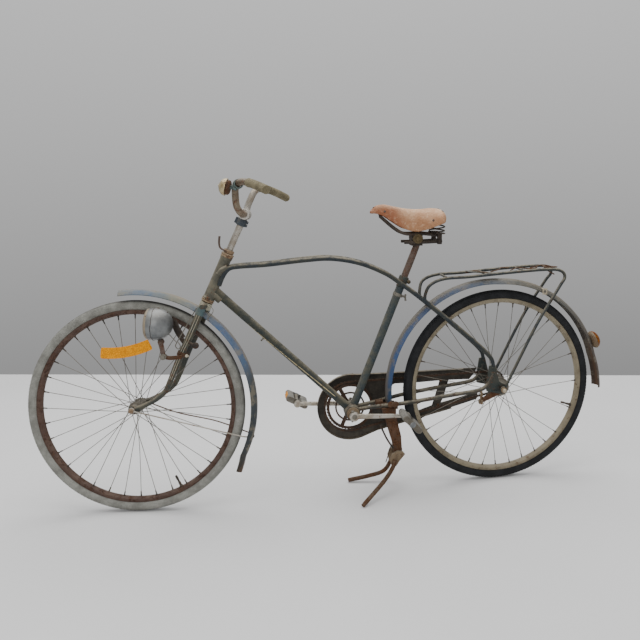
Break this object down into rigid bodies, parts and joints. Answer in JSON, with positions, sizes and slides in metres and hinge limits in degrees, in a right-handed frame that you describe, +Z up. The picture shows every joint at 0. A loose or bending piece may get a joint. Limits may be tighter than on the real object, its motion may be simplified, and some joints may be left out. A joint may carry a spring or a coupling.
{
  "type": "roadster bicycle",
  "caption": "Old roadster bicycle with curved twin top tubes, mudguards, carrier, chain guard and a two-legged stand; wheels, steering, cranks, pedals and stand move.",
  "frame": {"origin": "centre of the bounding box, at floor level", "axes": "+X the way the bicycle rides, +Y to the rider's left, +Z up; the front end is stored turned 9.9 degrees to the right"},
  "size_m": [1.9868, 0.5222, 1.0914],
  "materials": {
    "frame_paint": "matt, dusty",
    "chrome": "worn",
    "rusty_iron": "rusted",
    "dark_iron": "rusted, dark",
    "leather": "dry, worn",
    "blue_paint": "matt, dusty",
    "lamp_amber": "dirty amber",
    "grey_rubber": "weathered",
    "brown_rim": "rusted",
    "dull_steel": "dull",
    "amber": "clear amber",
    "grip": "weathered",
    "brass": "tarnished",
    "black_rubber": "matt",
    "cream_rim": "worn, rust spots"
  },
  "bodies": {
    "frame": {"head_tube": "frame_paint", "bottom_bracket_shell": "frame_paint", "down_tube": "frame_paint", "seat_tube": "frame_paint", "dropout_left": "frame_paint", "dropout_right": "frame_paint", "twin_tube_left": "frame_paint", "chain_stay_left": "frame_paint", "twin_tube_right": "frame_paint", "chain_stay_right": "frame_paint", "rear_axle": "chrome", "headset_lower": "rusty_iron", "headset_upper": "rusty_iron", "brake_arm": "rusty_iron", "seat_post": "dark_iron", "saddle_leather": "leather", "saddle_irons": "dark_iron", "saddle_cantle": "dark_iron", "saddle_spring_left": "dark_iron", "saddle_spring_right": "dark_iron", "rear_mudguard": "blue_paint", "seat_stay_bridge": "frame_paint", "tail_lamp": "lamp_amber", "carrier": "blue_paint", "chain": "dark_iron", "chain_guard": "dark_iron", "stand_bracket": "rusty_iron"},
    "steering": {"fork": "frame_paint", "front_axle": "chrome", "headset_locknut": "rusty_iron", "stem": "chrome", "handlebar": "chrome", "grip_left": "grip", "grip_right": "grip", "bell": "brass", "front_mudguard": "blue_paint", "front_mudguard_stay": "dull_steel", "headlamp": "chrome", "headlamp_arm": "rusty_iron"},
    "front_wheel": {"front_wheel_tyre": "grey_rubber", "front_wheel_rim": "brown_rim", "front_wheel_hub_and_spokes": "dull_steel", "spoke_reflector": "amber"},
    "rear_wheel": {"rear_wheel_tyre": "black_rubber", "rear_wheel_rim": "cream_rim", "rear_wheel_hub_and_spokes": "dull_steel"},
    "crankset": {"crank_axle": "dull_steel", "crank_left": "chrome", "crank_right": "chrome", "chainring": "dark_iron"},
    "pedal_left": {"pedal_left_cage": "dull_steel", "pedal_left_pad_front": "grey_rubber", "pedal_left_pad_rear": "grey_rubber"},
    "pedal_right": {"pedal_right_cage": "dull_steel", "pedal_right_pad_front": "grey_rubber", "pedal_right_pad_rear": "grey_rubber"},
    "stand": {"stand_knuckle": "rusty_iron", "stand_leg_left": "rusty_iron", "stand_leg_right": "rusty_iron"}
  },
  "joints": [
    {"name": "steering", "type": "hinge", "parent": "frame", "child": "steering", "pos_m": [0.57065, -0.0109, 0.35], "axis": [-0.4147, 0, 0.91], "range_deg": [-40.1, 59.9]},
    {"name": "front_wheel_spin", "type": "hinge", "parent": "steering", "child": "front_wheel", "pos_m": [0.64768, -0.0231, 0.34956], "axis": [0.1564, 0.9851, 0.0713], "continuous": true},
    {"name": "rear_wheel_spin", "type": "hinge", "parent": "frame", "child": "rear_wheel", "pos_m": [-0.59035, -0.0109, 0.35], "axis": [0, 1, 0], "continuous": true},
    {"name": "crank_spin", "type": "hinge", "parent": "frame", "child": "crankset", "pos_m": [-0.05735, -0.0109, 0.29], "axis": [0, 1, 0], "continuous": true},
    {"name": "pedal_left_spin", "type": "hinge", "parent": "crankset", "child": "pedal_left", "pos_m": [-0.2401, 0.1141, 0.28042], "axis": [0, 1, 0], "continuous": true},
    {"name": "pedal_right_spin", "type": "hinge", "parent": "crankset", "child": "pedal_right", "pos_m": [0.1254, -0.1359, 0.29958], "axis": [0, 1, 0], "continuous": true},
    {"name": "stand_fold", "type": "hinge", "parent": "frame", "child": "stand", "pos_m": [-0.22035, -0.0109, 0.12], "axis": [0, 1, 0], "range_deg": [0, 145]}
  ]
}
